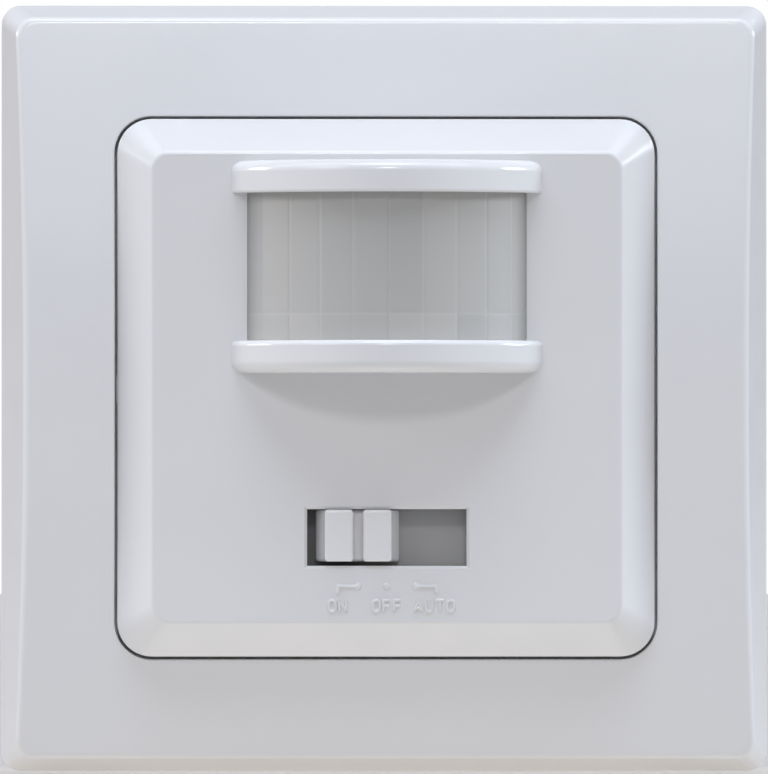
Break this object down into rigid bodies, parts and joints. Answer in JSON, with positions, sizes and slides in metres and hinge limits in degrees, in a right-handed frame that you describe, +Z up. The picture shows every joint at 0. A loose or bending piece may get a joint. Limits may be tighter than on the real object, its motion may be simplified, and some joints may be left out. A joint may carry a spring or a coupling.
{
  "type": "motion sensor light switch",
  "caption": "Square flush-mounted light switch with a curved motion sensor lens between curved bars, a sliding mode knob, a clip-on frame and a housing that fits a wall box.",
  "frame": {"origin": "middle of the switch on the wall's surface, at the back of the mounting bracket", "axes": "+X right, +Y back into the wall, +Z up, seen from the front"},
  "size_m": [0.08, 0.0488, 0.08],
  "materials": {
    "white_gloss": "smooth moulded gloss",
    "milky_lens": "milky satin with fine grooves",
    "black_plastic": "matte moulded",
    "zinc_steel": "zinc plated sheet",
    "grey_housing": "matte moulded",
    "screw_steel": "zinc plated",
    "board": "green solder mask",
    "bright_can": "bright plated metal",
    "dark_filter": "polished infrared filter",
    "tan_ceramic": "coated ceramic",
    "brown_phenolic": "phenolic board",
    "blue_plastic": "moulded",
    "ivory_plastic": "moulded",
    "navy_sleeve": "shrink sleeve",
    "brass_contact": "plain brass",
    "relay_case": "moulded case",
    "yellow_case": "moulded case",
    "grey_terminal": "moulded"
  },
  "bodies": {
    "base": {"mounting_bracket": "zinc_steel", "rear_housing": "grey_housing", "bracket_screws": "screw_steel", "sensor_board": "board", "board_screws": "screw_steel", "pyro_can": "bright_can", "pyro_window": "dark_filter", "pyro_header": "bright_can", "light_sensor": "tan_ceramic", "slide_switch_shell": "bright_can", "slide_switch_base": "brown_phenolic", "lux_trimmer_body": "blue_plastic", "time_trimmer_body": "blue_plastic", "control_chip": "black_plastic", "timing_capacitors": "navy_sleeve", "chip_resistors": "black_plastic", "link_header": "black_plastic", "link_socket": "black_plastic", "link_pins": "brass_contact", "power_board": "board", "relay": "relay_case", "film_capacitor": "yellow_case", "smoothing_capacitor": "navy_sleeve", "surge_varistor": "blue_plastic", "line_fuse": "tan_ceramic", "rectifier_diodes": "black_plastic", "power_resistors": "tan_ceramic", "driver_transistor": "black_plastic", "terminal_block": "grey_terminal", "terminal_clamps": "brass_contact", "terminal_screws": "screw_steel"},
    "frame": {"outer_frame": "white_gloss"},
    "cover": {"front_cover": "white_gloss", "fresnel_lens": "milky_lens", "lens_retainer": "black_plastic"},
    "knob": {"switch_knob": "white_gloss"},
    "lever": {"slide_switch_lever": "black_plastic"},
    "lux_rotor": {"lux_trimmer_rotor": "ivory_plastic"},
    "time_rotor": {"time_trimmer_rotor": "ivory_plastic"}
  },
  "joints": [
    {"name": "frame_pull_off", "type": "slide", "parent": "base", "child": "frame", "axis": [0, -1, 0], "range_m": [0, 0.03]},
    {"name": "cover_pull_off", "type": "slide", "parent": "base", "child": "cover", "axis": [0, -1, 0], "range_m": [0, 0.03]},
    {"name": "knob_slide", "type": "slide", "parent": "cover", "child": "knob", "axis": [1, 0, 0], "range_m": [0, 0.006]},
    {"name": "lever_slide", "type": "slide", "parent": "base", "child": "lever", "axis": [1, 0, 0], "range_m": [0, 0.006]},
    {"name": "lux_turn", "type": "hinge", "parent": "base", "child": "lux_rotor", "pos_m": [-0.0147, -0.002, -0.003], "axis": [0, -1, 0], "range_deg": [-135, 135]},
    {"name": "time_turn", "type": "hinge", "parent": "base", "child": "time_rotor", "pos_m": [0.0147, -0.002, -0.003], "axis": [0, -1, 0], "range_deg": [-135, 135]}
  ],
  "couplings": [
    {"joint": "lever_slide", "follows": "knob_slide", "ratio": 1}
  ]
}
